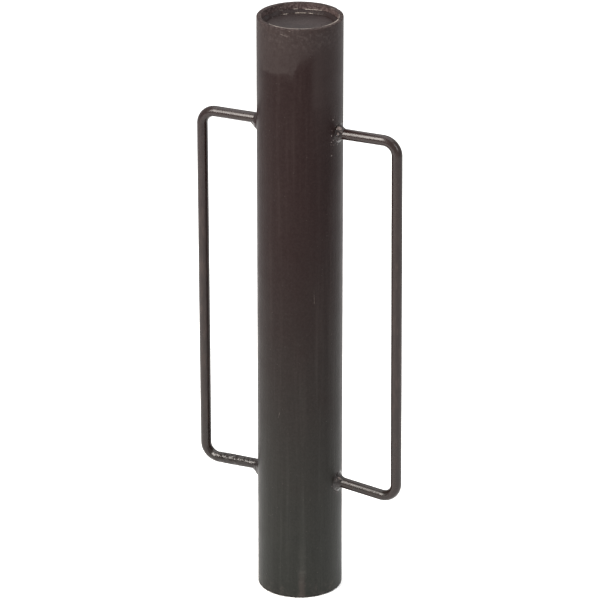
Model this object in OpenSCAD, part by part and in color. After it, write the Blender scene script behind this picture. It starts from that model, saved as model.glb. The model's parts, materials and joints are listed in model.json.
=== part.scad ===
// Manual post driver: a heavy steel barrel, closed near its top by a welded-in
// striker plug, with two bent round-bar handles welded to its sides.
// Millimetres. +Z up. The origin is the centre of the open lower end of the
// barrel. The handles lie in the XZ plane, left at -X and right at +X.

/* [Barrel] */
// Length of the barrel from the open end to the top rim
barrel_length = 635; // [560:5:900]
// Outside diameter of the barrel tube
barrel_od = 88.9; // [80:0.1:120]
// Wall thickness of the barrel tube
barrel_wall = 5.5; // [4:0.1:9]
// Size of the broken edges at the barrel's two ends
edge_break = 0.8; // [0.3:0.1:1.5]

/* [Striker plug] */
// Thickness of the solid steel plug that hits the post
plug_thickness = 25; // [12:1:50]
// Depth of the plug's top face below the top rim
plug_recess = 10; // [6:0.5:20]
// Depth of the turned seat in the barrel wall, over the bore radius
seat_step = 0.5; // [0.4:0.05:1.5]
// Radial gap between the plug and its seat
plug_gap = 0.15; // [0.05:0.05:0.3]
// Bevel around the plug's top edge, filled by the weld
plug_bevel = 3; // [1:0.5:6]
// Leg of the fillet weld around the plug's top edge
plug_weld_leg = 4; // [2:0.5:5]

/* [Handles] */
// Diameter of the round handle bar
bar_d = 11.5; // [8:0.5:14]
// Bend radius at the handle corners, on the bar's centreline
bend_r = 15; // [12:1:24]
// Height of the left handle's upper leg
left_upper_height = 517; // [420:1:540]
// Height of the left handle's lower leg
left_lower_height = 126; // [80:1:200]
// Reach of the left handle at its upper corner, from the barrel's axis
left_upper_reach = 110.5; // [100:0.5:140]
// Reach of the left handle at its lower corner
left_lower_reach = 109; // [100:0.5:140]
// Height of the right handle's upper leg
right_upper_height = 514; // [420:0.5:540]
// Height of the right handle's lower leg, where it meets the barrel
right_lower_height = 123.5; // [80:0.5:200]
// Reach of the right handle at its upper corner
right_upper_reach = 108; // [100:0.5:140]
// Reach of the right handle at its lower corner
right_lower_reach = 110; // [100:0.5:140]
// Drop of the right handle's hand-bent lower leg, from the barrel to its corner
right_lower_drop = 8.5; // [0:0.5:12]

/* [Handle welds] */
// Length of each right weld along the handle bar
weld_on_bar = 7; // [4:0.5:10]
// Length of each left weld along the handle bar
left_weld_on_bar = 10; // [7:0.5:12]
// Width of each weld on the barrel, beside the bar
weld_on_barrel = 4.5; // [3:0.5:9]
// Sag of the left welds' feet below the bar
weld_sag = 3; // [0:0.5:3]

/* [Hidden] */
$fn = 96;

barrel_r = barrel_od / 2;
bore_r = barrel_r - barrel_wall;
seat_r = bore_r + seat_step;
plug_r = seat_r - plug_gap;
plug_top = barrel_length - plug_recess;
plug_base = plug_top - plug_thickness;
// Lower edge of the plug, broken so it slides into its seat.
plug_chamfer = 1;
// The seat runs from the plug's lower face to the top rim.
seat_base = plug_base;
bar_r = bar_d / 2;

paint_dark = [0.23, 0.18, 0.17];
paint_handle = [0.26, 0.21, 0.20];
paint_weld = [0.20, 0.17, 0.16];

function unit(v) = v / norm(v);
function angle_of(v) = atan2(v[1], v[0]);
// The bar swells a little where it was bent, so each straight ends inside a bend.
bend_swell = 0.05;
overlap = 0.5;
// Interior angle at b between the directions to a and to c
function corner_angle(a, b, c) = acos(unit(a - b) * unit(c - b));
// Distance from a corner to where its bend begins
function bend_run(a, b, c, r) = r / tan(corner_angle(a, b, c) / 2);
function bend_centre(a, b, c, r) =
    b + unit(unit(a - b) + unit(c - b)) * r / sin(corner_angle(a, b, c) / 2);

// A straight length of bar from p to q, in the XY plane
module bar_straight(p, q, r) {
    translate([p[0], p[1], 0])
        rotate([0, 0, angle_of(q - p)])
            rotate([0, 90, 0])
                cylinder(h = norm(q - p), r = r);
}

// The bend at corner b of the line a, b, c
module bar_bend(a, b, c, r, rb) {
    o = bend_centre(a, b, c, rb);
    run = bend_run(a, b, c, rb);
    p1 = b + unit(a - b) * run;
    p2 = b + unit(c - b) * run;
    a1 = angle_of(p1 - o);
    a2 = angle_of(p2 - o);
    turn = (a2 - a1 + 540) % 360 - 180;
    from = turn > 0 ? a1 : a2;
    translate([o[0], o[1], 0])
        rotate([0, 0, from])
            rotate_extrude(angle = abs(turn))
                translate([rb, 0]) circle(r = r);
}

// A bar bent at two corners, in the XZ plane, trimmed to the barrel's surface
module bent_handle(p0, p1, p2, p3) {
    run1 = bend_run(p0, p1, p2, bend_r);
    run2 = bend_run(p1, p2, p3, bend_r);
    difference() {
        rotate([90, 0, 0]) union() {
            bar_straight(p0, p1 + unit(p0 - p1) * (run1 - overlap), bar_r);
            bar_bend(p0, p1, p2, bar_r + bend_swell, bend_r);
            bar_straight(p1 + unit(p2 - p1) * (run1 - overlap),
                         p2 + unit(p1 - p2) * (run2 - overlap), bar_r);
            bar_bend(p1, p2, p3, bar_r + bend_swell, bend_r);
            bar_straight(p2 + unit(p3 - p2) * (run2 - overlap), p3, bar_r);
        }
        cylinder(h = barrel_length, r = barrel_r);
    }
}

// A fillet weld round a bar that leaves the barrel at height z, in direction
// side (+1 or -1), falling by slope degrees. It covers on_bar of the bar's
// length, and its foot hangs sag lower.
module leg_weld(side, z, slope, sag, on_bar) {
    root = 5;
    toe = 0.3 + 0.1 * abs(sag);
    foot_r = bar_r + weld_on_barrel;
    grow = (foot_r - bar_r - toe) / on_bar;
    lean = atan(sag / on_bar);
    difference() {
        translate([side * (barrel_r + on_bar), 0, z - on_bar * tan(slope)])
            rotate([0, side * (-90 + slope - lean), 0])
                cylinder(h = on_bar + root, r1 = bar_r + toe,
                         r2 = foot_r + grow * root);
        cylinder(h = barrel_length, r = barrel_r);
        translate([side * barrel_r, 0, z])
            rotate([0, side * (90 + slope), 0])
                translate([0, 0, -barrel_r / 2])
                    cylinder(h = barrel_r, r = bar_r);
    }
}

// Corner points of each handle, in its own plane: root, corner, corner, root
left_path = [
    [-(barrel_r - 4), left_upper_height],
    [-left_upper_reach, left_upper_height],
    [-left_lower_reach, left_lower_height],
    [-(barrel_r - 4), left_lower_height]
];
right_slope = atan(right_lower_drop / (right_lower_reach - barrel_r));
right_path = [
    [barrel_r - 4, right_upper_height],
    [right_upper_reach, right_upper_height],
    [right_lower_reach, right_lower_height - right_lower_drop],
    [barrel_r - 4, right_lower_height + 4 * tan(right_slope)]
];

module barrel_tube() {
    e = edge_break;
    color(paint_dark)
        rotate_extrude()
            polygon([
                [bore_r, 0], [barrel_r - e, 0], [barrel_r, e],
                [barrel_r, barrel_length - e], [barrel_r - e, barrel_length],
                [seat_r + e, barrel_length], [seat_r, barrel_length - e],
                [seat_r, seat_base], [bore_r, seat_base]
            ]);
}

module striker_plug() {
    color(paint_dark)
        translate([0, 0, plug_base])
            rotate_extrude()
                polygon([
                    [0, 0], [plug_r - plug_chamfer, 0], [plug_r, plug_chamfer],
                    [plug_r, plug_thickness - plug_bevel],
                    [plug_r - plug_bevel, plug_thickness], [0, plug_thickness]
                ]);
}

module plug_weld() {
    w = plug_weld_leg;
    b = plug_bevel;
    color(paint_weld)
        translate([0, 0, plug_top])
            rotate_extrude()
                polygon([
                    [seat_r, -b], [seat_r, w], [seat_r - 0.35 * w, w * 0.86],
                    [seat_r - 0.68 * w, w * 0.55], [seat_r - 0.9 * w, w * 0.2],
                    [seat_r - w, 0], [plug_r - b, 0], [plug_r, -b]
                ]);
}

module left_handle() {
    color(paint_handle)
        bent_handle(left_path[0], left_path[1], left_path[2], left_path[3]);
}

module right_handle() {
    color(paint_handle)
        bent_handle(right_path[0], right_path[1], right_path[2], right_path[3]);
}

module left_upper_weld() {
    color(paint_weld) leg_weld(-1, left_upper_height, 0, weld_sag, left_weld_on_bar);
}

module left_lower_weld() {
    color(paint_weld) leg_weld(-1, left_lower_height, 0, weld_sag, left_weld_on_bar);
}

module right_upper_weld() {
    color(paint_weld) leg_weld(1, right_upper_height, 0, -0.75, weld_on_bar);
}

module right_lower_weld() {
    color(paint_weld) leg_weld(1, right_lower_height, right_slope, 0, weld_on_bar);
}

barrel_tube();
striker_plug();
plug_weld();
left_handle();
right_handle();
left_upper_weld();
left_lower_weld();
right_upper_weld();
right_lower_weld();
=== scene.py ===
import json
import math

import bpy
import numpy as np
from mathutils import Matrix, Vector


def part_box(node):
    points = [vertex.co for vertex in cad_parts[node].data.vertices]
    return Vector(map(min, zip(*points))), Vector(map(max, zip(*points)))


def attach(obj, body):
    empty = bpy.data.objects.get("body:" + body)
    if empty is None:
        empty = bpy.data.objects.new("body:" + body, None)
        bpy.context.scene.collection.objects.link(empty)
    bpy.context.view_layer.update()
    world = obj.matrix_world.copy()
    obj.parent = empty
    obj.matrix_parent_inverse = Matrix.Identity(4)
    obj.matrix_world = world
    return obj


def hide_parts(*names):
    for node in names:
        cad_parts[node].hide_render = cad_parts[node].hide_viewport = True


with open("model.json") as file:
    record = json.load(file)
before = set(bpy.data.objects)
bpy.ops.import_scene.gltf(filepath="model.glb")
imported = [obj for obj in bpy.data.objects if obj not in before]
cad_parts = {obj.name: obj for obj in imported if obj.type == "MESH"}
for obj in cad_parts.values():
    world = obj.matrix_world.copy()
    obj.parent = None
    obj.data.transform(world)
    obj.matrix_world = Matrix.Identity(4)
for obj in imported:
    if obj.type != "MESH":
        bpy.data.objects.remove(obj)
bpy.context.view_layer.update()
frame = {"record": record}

MM = 0.001

# ---------------------------------------------------------------------------
# Sizes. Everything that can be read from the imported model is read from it.
# ---------------------------------------------------------------------------
b_lo, b_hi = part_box("barrel_tube")
p_lo, p_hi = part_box("striker_plug")
w_lo, w_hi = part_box("plug_weld")
BARREL_R = float(b_hi[0])
LENGTH = float(b_hi[2])
PLUG_R = float(p_hi[0])
PLUG_BASE, PLUG_TOP = float(p_lo[2]), float(p_hi[2])
SEAT_R = float(w_hi[0])
WELD_TOP = float(w_hi[2])
BORE = next(m for m in frame["record"]["mounts"] if m["name"] == "post_bore")
BORE_R = BORE["dims"]["r_mm"] * MM
SWELL = 0.05 * MM


def handle_path(node, side, upper_reach, lower_reach, z_low, z_root):
    """Root, corner, corner and root of a handle's centreline in the XZ plane."""
    lo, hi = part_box(node)
    r = float(hi[1] - lo[1]) / 2 - SWELL
    z_high = float(hi[2]) - r
    return r, [
        (side * BARREL_R, z_high),
        (side * upper_reach, z_high),
        (side * lower_reach, z_low),
        (side * BARREL_R, z_root),
    ]


BAR_R, LEFT_PATH = handle_path("left_handle", -1, 110.5 * MM, 109.0 * MM, 126.0 * MM, 126.0 * MM)
_, RIGHT_PATH = handle_path("right_handle", 1, 108.0 * MM, 110.0 * MM, 115.0 * MM, 123.5 * MM)
BEND_R = 15 * MM
CAM_AZ = math.radians(24.076)


# ---------------------------------------------------------------------------
# Seeded noise for shapes, the same on every run
# ---------------------------------------------------------------------------
def vnoise(p, seed):
    """Smooth lattice noise from -1 to 1 at points p (..., 3)."""
    p = np.asarray(p, float)
    i = np.floor(p).astype(np.int64)
    f = p - i
    w = f * f * f * (f * (f * 6 - 15) + 10)
    out = np.zeros(p.shape[:-1])
    for dx in (0, 1):
        for dy in (0, 1):
            for dz in (0, 1):
                h = (
                    (i[..., 0] + dx) * 73856093
                    ^ (i[..., 1] + dy) * 19349663
                    ^ (i[..., 2] + dz) * 83492791
                    ^ (seed * 374761393)
                ) & 0xFFFFFFFF
                h = ((h ^ (h >> 13)) * 1274126177) & 0xFFFFFFFF
                h = (h ^ (h >> 16)) & 0xFFFFFF
                v = h / float(0x7FFFFF) - 1.0
                out += (
                    v
                    * (w[..., 0] if dx else 1 - w[..., 0])
                    * (w[..., 1] if dy else 1 - w[..., 1])
                    * (w[..., 2] if dz else 1 - w[..., 2])
                )
    return out


def fbm(p, size, seed, octaves=3, gain=0.5):
    """Noise with features about `size` metres across, and finer ones on top."""
    out, amp, total = 0.0, 1.0, 0.0
    q = np.asarray(p, float) / size
    for k in range(octaves):
        out = out + amp * vnoise(q * (2.03**k) + 17.3 * k, seed + 101 * k)
        total += amp
        amp *= gain
    return out / total


def smooth(x, a, b):
    t = np.clip((np.asarray(x, float) - a) / (b - a), 0, 1)
    return t * t * (3 - 2 * t)


# ---------------------------------------------------------------------------
# Mesh building
# ---------------------------------------------------------------------------
class Shell:
    """Collects closed surfaces, with named values at their points, into one mesh."""

    def __init__(self):
        self.v, self.f, self.values, self.n = [], [], {}, 0

    def add(self, verts, faces, **values):
        verts = np.asarray(verts, float).reshape(-1, 3)
        count = len(verts)
        for key in set(self.values) | set(values):
            mine = values.get(key, 0.0)
            mine = np.broadcast_to(np.asarray(mine, float).reshape(-1), (count,)) if np.ndim(mine) else np.full(count, float(mine))
            self.values.setdefault(key, [np.zeros(self.n)] if self.n else []).append(mine)
        self.v.append(verts)
        self.f += [tuple(i + self.n for i in face) for face in faces]
        self.n += count

    def grid(self, g, wrap_rows=False, cap_first=None, cap_last=None, flip=False, **values):
        """g is (rows, cols, 3), closed across its columns. A cap is a centre point."""
        g = np.asarray(g, float)
        rows, cols = g.shape[:2]
        verts = g.reshape(-1, 3)
        faces = []
        last = rows if wrap_rows else rows - 1
        c = np.arange(cols)
        d = (c + 1) % cols
        for r in range(last):
            a, b = r * cols, ((r + 1) % rows) * cols
            quads = np.stack([a + c, a + d, b + d, b + c], 1)
            if flip:
                quads = quads[:, ::-1]
            faces += [tuple(int(x) for x in q) for q in quads]
        extra = []
        for centre, row in ((cap_first, 0), (cap_last, rows - 1)):
            if centre is None:
                continue
            k = len(verts) + len(extra)
            extra.append(centre)
            a = row * cols
            for i in range(cols):
                j = (i + 1) % cols
                tri = (a + j, a + i, k) if row == 0 else (a + i, a + j, k)
                faces.append(tri[::-1] if flip else tri)
        if extra:
            verts = np.vstack([verts, np.asarray(extra, float)])
            values = {
                key: np.concatenate([np.asarray(x, float).reshape(-1), np.full(len(extra), float(np.mean(x)))])
                for key, x in values.items()
            }
        self.add(verts, faces, **values)

    def droplet(self, centre, normal, radius, squash, seed):
        """A spatter bead: a small lumpy ball, half sunk in the surface, fully marked for the weld paint's painted pale
        glint.
        """
        n = Vector(normal).normalized()
        t = n.orthogonal().normalized()
        s = n.cross(t)
        rings, cols = 5, 9
        g = np.zeros((rings, cols, 3))
        c = np.asarray(centre, float)
        T, S, Nn = np.array(t), np.array(s), np.array(n)
        for r in range(rings):
            lat = math.pi * (r + 1) / (rings + 1)
            for k in range(cols):
                lon = 2 * math.pi * k / cols
                wob = 1 + 0.12 * math.sin(3 * lon + seed) * math.sin(lat)
                g[r, k] = (
                    c
                    + radius * wob * math.sin(lat) * (math.cos(lon) * T + math.sin(lon) * S)
                    + radius * squash * math.cos(lat) * Nn
                )
        self.grid(
            g,
            cap_first=c + radius * squash * Nn,
            cap_last=c - radius * squash * Nn,
            flip=True,
            bead=np.ones(rings * cols),
        )

    def blob(self, centre, normal, along, long, wide, high, seed, pale=0.3):
        """A drop of weld metal: a smooth lump, longer one way than the other; pale sets how strongly the weld paint
        gives it a painted pale glint.
        """
        n = Vector(normal).normalized()
        t = Vector(along)
        t = (t - n * t.dot(n)).normalized()
        s = n.cross(t)
        rings, cols = 13, 26
        lat = np.pi * (np.arange(rings) + 1)[:, None] / (rings + 1)
        lon = 2 * np.pi * np.arange(cols)[None] / cols
        T, S, Nn = np.array(t), np.array(s), np.array(n)
        c = np.asarray(centre, float)
        ball = np.stack([np.sin(lat) * np.cos(lon), np.sin(lat) * np.sin(lon), np.cos(lat) + 0 * lon], -1)
        grow = (1 + 0.10 * fbm(ball * 1.3, 1.0, seed, 2))[..., None]
        g = c + grow * (ball[..., :1] * long * T + ball[..., 1:2] * wide * S + ball[..., 2:] * high * Nn)
        self.grid(g, cap_first=c + high * Nn, cap_last=c - high * Nn, flip=True, ridge=np.full(rings * cols, 0.7), bead=np.full(rings * cols, pale))

    def build(self, name, material, slot, *nodes):
        mesh = bpy.data.meshes.new(name)
        verts = np.vstack(self.v)
        mesh.from_pydata([tuple(x) for x in verts], [], self.f)
        mesh.validate()
        mesh.polygons.foreach_set("use_smooth", [True] * len(mesh.polygons))
        for key, parts in self.values.items():
            attr = mesh.attributes.new(key, "FLOAT", "POINT")
            attr.data.foreach_set("value", np.concatenate(parts).astype(np.float32))
        mesh.update()
        piece = bpy.data.objects.new(name, mesh)
        bpy.context.scene.collection.objects.link(piece)
        mesh.materials.append(material)
        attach(piece, "root")
        if nodes:
            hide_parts(*nodes)
        return piece


def arc(cx, cz, r, a0, a1, n):
    """Points on an arc in the (radius, height) plane, from a0 to a1 in degrees, both ends included."""
    a = np.radians(np.linspace(a0, a1, n))
    return list(zip(cx + r * np.cos(a), cz + r * np.sin(a)))


def lathe(profile, cols):
    """Points of a profile of (radius, height) turned about Z, and their angles."""
    profile = np.asarray(profile, float)
    a = np.linspace(0, 2 * math.pi, cols, endpoint=False)
    g = np.zeros((len(profile), cols, 3))
    g[..., 0] = profile[:, :1] * np.cos(a)
    g[..., 1] = profile[:, :1] * np.sin(a)
    g[..., 2] = profile[:, 1:2]
    return g, a


def turned(a):
    """Angles about Z as degrees to the right of the camera's side, from -180 to 180."""
    d = np.degrees(np.asarray(a) + math.pi / 2 - CAM_AZ)
    return (d + 180) % 360 - 180


def window(x, a, b, soft):
    """1 between a and b, falling to 0 outside over soft."""
    return smooth(x, a - soft, a + soft) * smooth(x, b + soft, b - soft)


def facing(delta_deg):
    """The barrel's outward direction, delta degrees to the right of the camera's side."""
    a = CAM_AZ + math.radians(delta_deg)
    return math.sin(a), -math.cos(a)


# ---------------------------------------------------------------------------
# Materials
# ---------------------------------------------------------------------------
class Tree:
    def __init__(self, name):
        self.mat = bpy.data.materials.new(name)
        self.mat.use_nodes = True
        self.nt = self.mat.node_tree
        self.nt.nodes.clear()
        self.out = self.nt.nodes.new("ShaderNodeOutputMaterial")
        self.bsdf = self.nt.nodes.new("ShaderNodeBsdfPrincipled")
        self.nt.links.new(self.bsdf.outputs["BSDF"], self.out.inputs["Surface"])
        self.coord = self.nt.nodes.new("ShaderNodeTexCoord").outputs["Object"]

    def put(self, socket, value):
        if isinstance(value, bpy.types.NodeSocket):
            self.nt.links.new(value, socket)
        elif isinstance(value, (tuple, list)) and socket.type == "RGBA":
            socket.default_value = (*value[:3], 1.0)
        else:
            socket.default_value = value

    def set(self, name, value):
        self.put(self.bsdf.inputs[name], value)

    def math(self, op, a, b=0.0, c=0.0, clamp=False):
        n = self.nt.nodes.new("ShaderNodeMath")
        n.operation, n.use_clamp = op, clamp
        for k, v in enumerate((a, b, c)):
            self.put(n.inputs[k], v)
        return n.outputs[0]

    def scaled(self, vec, x, y, z, shift=(0, 0, 0)):
        n = self.nt.nodes.new("ShaderNodeMapping")
        self.put(n.inputs["Vector"], vec)
        n.inputs["Scale"].default_value = (x, y, z)
        n.inputs["Location"].default_value = shift
        return n.outputs["Vector"]

    def noise(self, scale, detail=3.0, rough=0.55, vec=None, distort=0.0, kind=None):
        n = self.nt.nodes.new("ShaderNodeTexNoise")
        self.put(n.inputs["Vector"], vec or self.coord)
        n.inputs["Scale"].default_value = scale
        n.inputs["Detail"].default_value = detail
        n.inputs["Roughness"].default_value = rough
        n.inputs["Distortion"].default_value = distort
        return n.outputs["Fac"]

    def cells(self, scale, vec=None, randomness=1.0):
        n = self.nt.nodes.new("ShaderNodeTexVoronoi")
        self.put(n.inputs["Vector"], vec or self.coord)
        n.inputs["Scale"].default_value = scale
        n.inputs["Randomness"].default_value = randomness
        return n.outputs["Distance"], n.outputs["Color"]

    def remap(self, v, a, b, c=0.0, d=1.0, smooth=True):
        n = self.nt.nodes.new("ShaderNodeMapRange")
        n.interpolation_type = "SMOOTHSTEP" if smooth else "LINEAR"
        n.clamp = True
        for k, x in enumerate((v, a, b, c, d)):
            self.put(n.inputs[k], x)
        return n.outputs[0]

    def mix(self, fac, a, b, blend="MIX"):
        n = self.nt.nodes.new("ShaderNodeMix")
        n.data_type, n.blend_type = "RGBA", blend
        self.put(n.inputs[0], fac)
        self.put(n.inputs[6], a)
        self.put(n.inputs[7], b)
        return n.outputs[2]

    def value(self, name):
        n = self.nt.nodes.new("ShaderNodeAttribute")
        n.attribute_name = name
        return n.outputs["Fac"]

    def split(self, vec=None):
        n = self.nt.nodes.new("ShaderNodeSeparateXYZ")
        self.put(n.inputs[0], vec or self.coord)
        return n.outputs

    def bump(self, height, distance, normal=None, strength=1.0):
        n = self.nt.nodes.new("ShaderNodeBump")
        n.inputs["Strength"].default_value = strength
        n.inputs["Distance"].default_value = distance
        self.put(n.inputs["Height"], height)
        if normal is not None:
            self.put(n.inputs["Normal"], normal)
        return n.outputs["Normal"]


BROWN_DARK = (0.0100, 0.0048, 0.0046)
BROWN_PALE = (0.0320, 0.0226, 0.0212)
DUST = (0.105, 0.086, 0.078)
STEEL = (0.300, 0.265, 0.235)
RUST = (0.050, 0.022, 0.014)
# the paint is greyer and paler over the lower part of the tool, and redder and darker above
PAINT_LOW = (0.0138, 0.0144, 0.0126)
PAINT_HIGH = (0.0084, 0.0034, 0.0033)
PALE_LOW = (0.0315, 0.0324, 0.0298)
DARK_LOW = (0.0085, 0.0083, 0.0076)


def paint(name, rough, streaks=True, wear=0.6, peel=0.00016, fleck=0.14, low=PAINT_LOW, pale_low=PALE_LOW):
    """Hand-sprayed brown-black paint on black steel: mottled, streaked along Z, with
    orange peel, dust nibs, the steel showing along worn edges, and painted highlights of bright steel on marked edges."""
    t = Tree(name)
    xyz = t.split()
    streak = t.noise(1.0, 4.0, 0.6, vec=t.scaled(t.coord, 160, 160, 5.0))
    streak2 = t.noise(1.0, 3.0, 0.5, vec=t.scaled(t.coord, 520, 520, 16, (3, 1, 7)))
    mottle = t.noise(26.0, 4.0, 0.6)
    fine = t.noise(420.0, 3.0, 0.6)
    drift = t.math("MULTIPLY", t.math("SUBTRACT", mottle, 0.5), 0.22)
    level = t.math("ADD", t.math("DIVIDE", xyz[2], LENGTH), drift)
    high = t.remap(level, 0.0, 0.72)
    body = t.mix(high, low, PAINT_HIGH)
    lit = t.mix(high, pale_low, BROWN_PALE)
    deep = t.mix(0.55, body, t.mix(high, DARK_LOW, BROWN_DARK))
    pale = t.mix(0.42, body, lit)
    body = t.mix(t.remap(mottle, 0.34, 0.60, 0.55, 0.0), body, deep)
    if streaks:
        body = t.mix(t.remap(streak, 0.46, 0.78, 0.0, 0.60), body, pale)
        body = t.mix(t.remap(streak2, 0.50, 0.72, 0.0, 0.45), body, deep)
    body = t.mix(t.remap(fine, 0.35, 0.75, 0.0, fleck), body, lit)
    # specks of dust in the paint
    dist, cell = t.cells(330.0)
    speck = t.math("MULTIPLY", t.remap(dist, 0.16, 0.05), t.remap(t.split(cell)[0], 0.88, 0.94))
    body = t.mix(t.math("MULTIPLY", speck, 0.35), body, DUST)
    # steel showing where an edge is rubbed, and bright steel painted as highlights where an edge is marked for them
    edge_rub_and_highlight = t.value("wear")
    rub = t.noise(700.0, 4.0, 0.7)
    rub2 = t.noise(90.0, 3.0, 0.6)
    bare = t.math("MULTIPLY", t.remap(t.math("ADD", t.math("MULTIPLY", edge_rub_and_highlight, 0.75), t.math("MULTIPLY", t.math("SUBTRACT", t.math("ADD", rub, rub2), 1.0), 0.9)), 0.42, 0.66), wear)
    t.streak, t.mottle, t.fine, t.bare, t.speck, t.xyz = streak, mottle, fine, bare, speck, xyz
    t.rough = t.math("ADD", rough, t.math("ADD", t.math("MULTIPLY", t.math("SUBTRACT", mottle, 0.5), 0.22), t.math("MULTIPLY", t.math("SUBTRACT", streak, 0.5), 0.16)))
    t.body = body
    # relief: orange peel, drawn lines along the metal, nibs
    n = t.bump(t.noise(520.0, 2.0, 0.5), peel)
    if streaks:
        n = t.bump(streak2, 0.00012, n)
    n = t.bump(speck, 0.00012, n)
    n = t.bump(t.math("SUBTRACT", 1.0, bare), 0.00006, n)
    t.normal = n
    return t


def finish_paint(t, gloss=0.5):
    t.set("Base Color", t.mix(t.bare, t.body, STEEL))
    t.set("Roughness", t.math("MAXIMUM", t.math("ADD", t.rough, t.math("MULTIPLY", t.bare, 0.05)), 0.08))
    t.set("Normal", t.normal)
    t.set("Metallic", 0.0)
    t.set("IOR", 1.45)
    t.set("Specular IOR Level", gloss)
    return t.mat


def scratch(t, u, v, a, b, width):
    """Mask of a thin straight mark from a to b, on surface coordinates u and v in metres."""
    (u0, v0), (u1, v1) = a, b
    length = math.hypot(u1 - u0, v1 - v0)
    du, dv = (u1 - u0) / length, (v1 - v0) / length
    uu, vv = t.math("SUBTRACT", u, u0), t.math("SUBTRACT", v, v0)
    s = t.math("ADD", t.math("MULTIPLY", uu, du), t.math("MULTIPLY", vv, dv))
    d = t.math("ABSOLUTE", t.math("SUBTRACT", t.math("MULTIPLY", vv, du), t.math("MULTIPLY", uu, dv)))
    ends = t.math("MULTIPLY", t.remap(s, -0.0004, 0.0012), t.remap(s, length + 0.0004, length - 0.0015))
    return t.math("MULTIPLY", t.remap(d, width, width * 0.25), ends)


def barrel_material():
    t = paint("barrel_brown_black_paint", 0.425)
    x, y, z = t.xyz[0], t.xyz[1], t.xyz[2]
    # angle round the barrel from the camera's side, to the right, as a distance on the surface
    ang = t.math("ARCTAN2", x, t.math("MULTIPLY", y, -1.0))
    u = t.math("MULTIPLY", t.math("SUBTRACT", ang, CAM_AZ), BARREL_R)
    outside = t.remap(t.math("SQRT", t.math("ADD", t.math("MULTIPLY", x, x), t.math("MULTIPLY", y, y))), BARREL_R - 0.003, BARREL_R - 0.001)
    # a duller, paler brown band under the top rim, ragged at its lower side, reaching lower with a sharp edge left of
    # the front
    cloud = t.noise(30.0, 3.0, 0.5, vec=t.scaled(t.coord, 0.7, 0.7, 1.5))
    step = t.math("MULTIPLY", t.remap(u, 0.002, -0.008), t.remap(u, -0.062, -0.042))
    band = t.math("ADD", z, t.math("MULTIPLY", t.math("SUBTRACT", cloud, 0.5), 0.036))
    band = t.math("ADD", band, t.math("MULTIPLY", step, 0.022))
    band = t.math("ADD",
        t.math("MULTIPLY", t.remap(band, LENGTH - 0.0340, LENGTH - 0.0290), step),
        t.math("MULTIPLY", t.remap(band, LENGTH - 0.046, LENGTH - 0.020), t.math("SUBTRACT", 1.0, step)))
    band = t.math("MULTIPLY", band, t.remap(t.noise(300.0, 4.0, 0.65), 0.30, 0.62, 0.62, 1.0))
    # a paler flank of the same colour on the right of the upper barrel
    flank = t.math("MULTIPLY", t.remap(u, 0.009, 0.017), t.remap(u, 0.062, 0.044))
    flank = t.math("MULTIPLY", flank, t.remap(t.math("ADD", z, t.math("MULTIPLY", t.math("SUBTRACT", cloud, 0.5), 0.10)), LENGTH - 0.150, LENGTH - 0.030))
    band = t.math("MAXIMUM", band, t.math("MULTIPLY", flank, 0.62))
    t.body = t.mix(t.math("MULTIPLY", band, 0.80), t.body, (0.0235, 0.0172, 0.0165))
    t.rough = t.math("ADD", t.rough, t.math("MULTIPLY", band, 0.10))
    grit = t.remap(z, LENGTH - 0.034, LENGTH - 0.004)
    t.body = t.mix(t.math("MULTIPLY", grit, t.remap(t.noise(330.0, 3.0, 0.7), 0.48, 0.60, 0.0, 0.42)), t.body, (0.0150, 0.0098, 0.0092))
    t.body = t.mix(t.math("MULTIPLY", grit, t.remap(t.noise(300.0, 4.0, 0.7, vec=t.scaled(t.coord, 1, 1, 1, (5, 2, 9))), 0.47, 0.64, 0.0, 0.27)), t.body, (0.058, 0.047, 0.045))
    t.normal = t.bump(t.math("MULTIPLY", grit, t.noise(330.0, 3.0, 0.7)), 0.00018, t.normal)
    soot = t.math("MULTIPLY", t.remap(z, LENGTH - 0.012, LENGTH - 0.003), t.remap(t.noise(110.0, 4.0, 0.65), 0.46, 0.64))
    t.body = t.mix(t.math("MULTIPLY", soot, 0.60), t.body, (0.0180, 0.0110, 0.0100))
    # short scratches under the rim
    marks = None
    for a, b, w in (
        ((-0.0213, LENGTH - 0.0058), (-0.0125, LENGTH - 0.0078), 0.00042),
        ((-0.0120, LENGTH - 0.0014), (-0.0096, LENGTH - 0.0022), 0.00055),
        ((0.0150, 0.3350), (0.0146, 0.3520), 0.00018),
        ((-0.0240, 0.2050), (-0.0216, 0.2130), 0.00020),
    ):
        m = scratch(t, u, z, a, b, w)
        marks = m if marks is None else t.math("MAXIMUM", marks, m)
    marks = t.math("MULTIPLY", marks, outside)
    t.body = t.mix(t.math("MULTIPLY", marks, t.remap(t.noise(900.0, 3.0, 0.6), 0.38, 0.62, 0.05, 0.60)), t.body, (0.180, 0.150, 0.135))
    t.normal = t.bump(t.math("SUBTRACT", 1.0, marks), 0.00010, t.normal)
    # a reddish run of paint down to the lower rim
    run = t.math("ABSOLUTE", t.math("SUBTRACT", u, t.math("ADD", 0.0026, t.math("MULTIPLY", t.math("SUBTRACT", t.noise(80.0, 4.0, 0.6), 0.5), 0.0075))))
    run = t.math("MULTIPLY", t.remap(run, 0.0048, 0.0010), outside)
    red = t.math("MULTIPLY", run, t.remap(t.math("ADD", z, t.math("MULTIPLY", t.math("SUBTRACT", t.mottle, 0.5), 0.02)), 0.034, 0.014))
    wisp = t.remap(t.noise(120.0, 4.0, 0.65, distort=0.8), 0.42, 0.66)
    pale = t.math("MULTIPLY", t.math("MULTIPLY", run, t.remap(z, 0.070, 0.030)), t.remap(wisp, 0.0, 1.0, 0.35, 1.0))
    t.body = t.mix(t.math("MULTIPLY", pale, 0.42), t.body, (0.046, 0.044, 0.040))
    t.body = t.mix(t.math("MULTIPLY", red, 0.40), t.body, (0.036, 0.026, 0.0235))
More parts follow.
